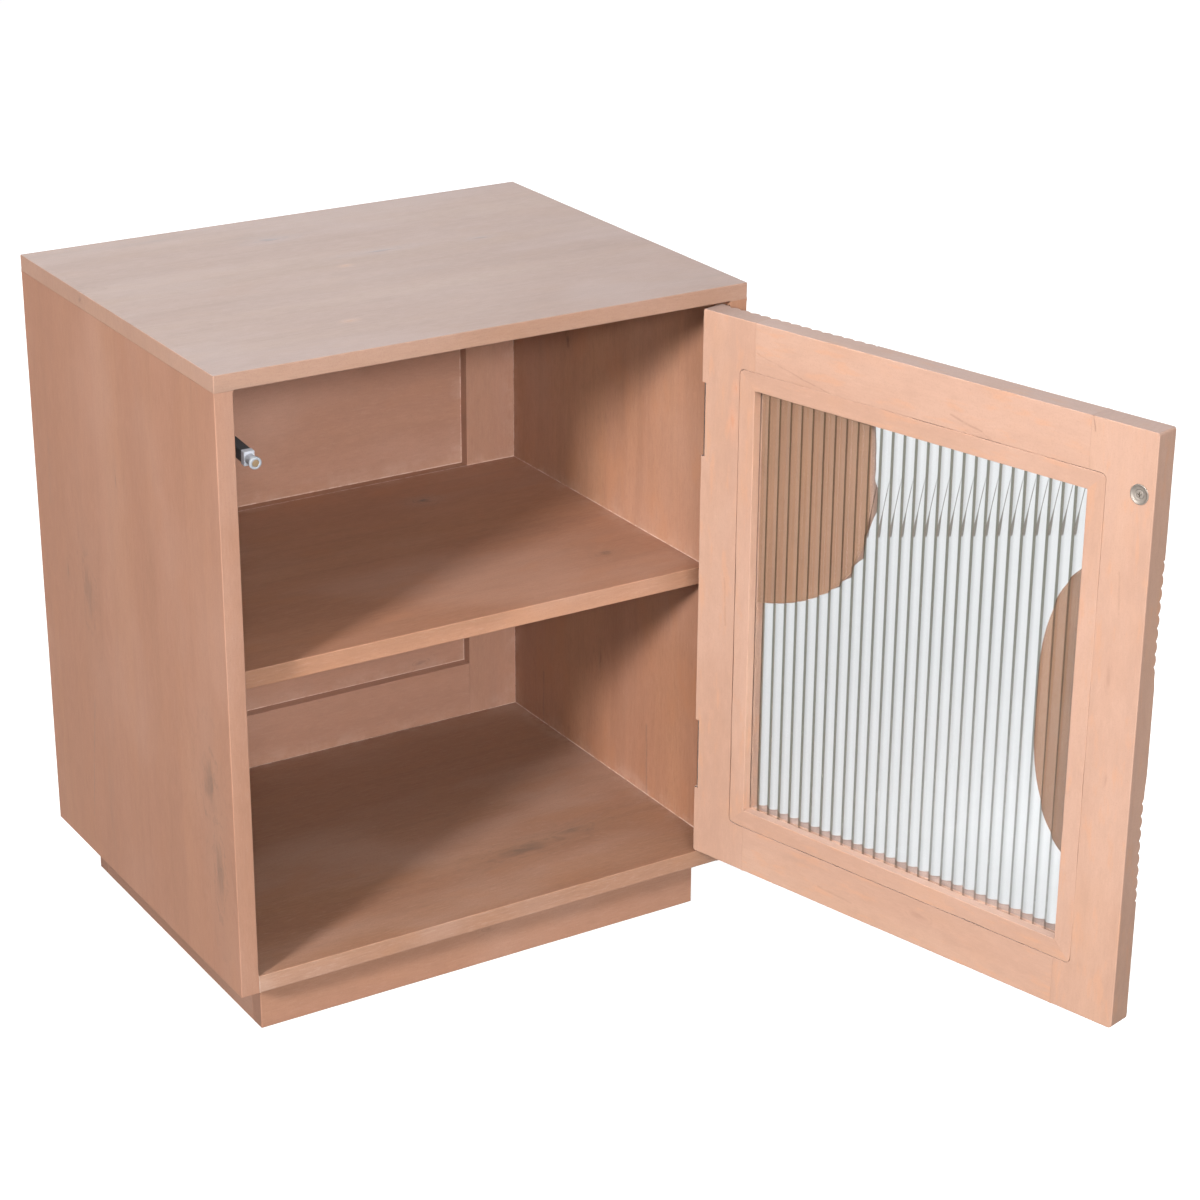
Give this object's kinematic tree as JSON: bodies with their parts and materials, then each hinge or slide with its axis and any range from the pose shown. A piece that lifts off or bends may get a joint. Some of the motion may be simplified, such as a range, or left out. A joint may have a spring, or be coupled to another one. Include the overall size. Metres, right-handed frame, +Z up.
{
  "type": "storage side table with door",
  "caption": "Box-shaped wooden side table on a recessed plinth, with a fixed shelf inside and a side-hinged door of reeded glass with carved wood pebbles, held by a push latch.",
  "frame": {"origin": "on the floor, under the middle of the cabinet (not of the open door)", "axes": "+X to the right seen from the front, +Y to the back, +Z up"},
  "size_m": [0.6018, 0.8525, 0.6096],
  "materials": {
    "limed_wood": "pinkish lime-washed hardwood, matt",
    "raw_wood": "raw, sawn",
    "reeded_glass": "clear, reeded on the inner side",
    "hinge_steel": "satin",
    "zinc_steel": "zinc plated",
    "nickel": "dull nickel",
    "black_plastic": "matt moulded",
    "grey_plastic": "satin moulded",
    "magnet": "dull"
  },
  "bodies": {
    "carcass": {"top_panel": "limed_wood", "side_left": "limed_wood", "side_right": "limed_wood", "bottom_panel": "limed_wood", "shelf": "limed_wood", "back_stile_left": "limed_wood", "back_stile_right": "limed_wood", "back_rail_bottom": "limed_wood", "back_rail_top": "limed_wood", "back_panel": "limed_wood", "plinth_front": "limed_wood", "plinth_back": "limed_wood", "plinth_left": "limed_wood", "plinth_right": "limed_wood", "plinth_blocks": "raw_wood", "plinth_screws": "zinc_steel", "dowels_top": "raw_wood", "dowels_bottom": "raw_wood", "dowels_shelf": "raw_wood", "hinge_leaf_fixed_lower": "hinge_steel", "hinge_leaf_fixed_upper": "hinge_steel", "hinge_pin_lower": "hinge_steel", "hinge_pin_upper": "hinge_steel", "hinge_screws_carcass": "zinc_steel", "latch_housing": "grey_plastic", "latch_spring": "hinge_steel", "latch_screws": "zinc_steel"},
    "door": {"door_stile_hinge": "limed_wood", "door_stile_free": "limed_wood", "door_rail_bottom": "limed_wood", "door_rail_top": "limed_wood", "inlay_upper": "limed_wood", "inlay_side": "limed_wood", "glass_pane": "reeded_glass", "bead_top": "limed_wood", "bead_bottom": "limed_wood", "bead_hinge_side": "limed_wood", "bead_free_side": "limed_wood", "bead_brads": "nickel", "strike_cup": "nickel", "strike_screw": "nickel", "hinge_leaf_door_lower": "hinge_steel", "hinge_leaf_door_upper": "hinge_steel", "hinge_screws_door": "zinc_steel"},
    "latch_plunger": {"latch_slider": "black_plastic", "latch_tip": "grey_plastic", "latch_magnet": "magnet"}
  },
  "joints": [
    {"name": "door_hinge", "type": "hinge", "parent": "carcass", "child": "door", "pos_m": [0.2327, -0.1956, 0.3], "axis": [0, 0, 1], "range_deg": [-104.65, 1.3]},
    {"name": "latch_slide", "type": "slide", "parent": "carcass", "child": "latch_plunger", "axis": [0, 0.9971, 0.0767], "range_m": [-0.0008, 0.0302], "deforming": ["latch_spring"]}
  ],
  "couplings": [
    {"joint": "latch_slide", "follows": "door_hinge", "m_per_rad": -0.016151}
  ]
}
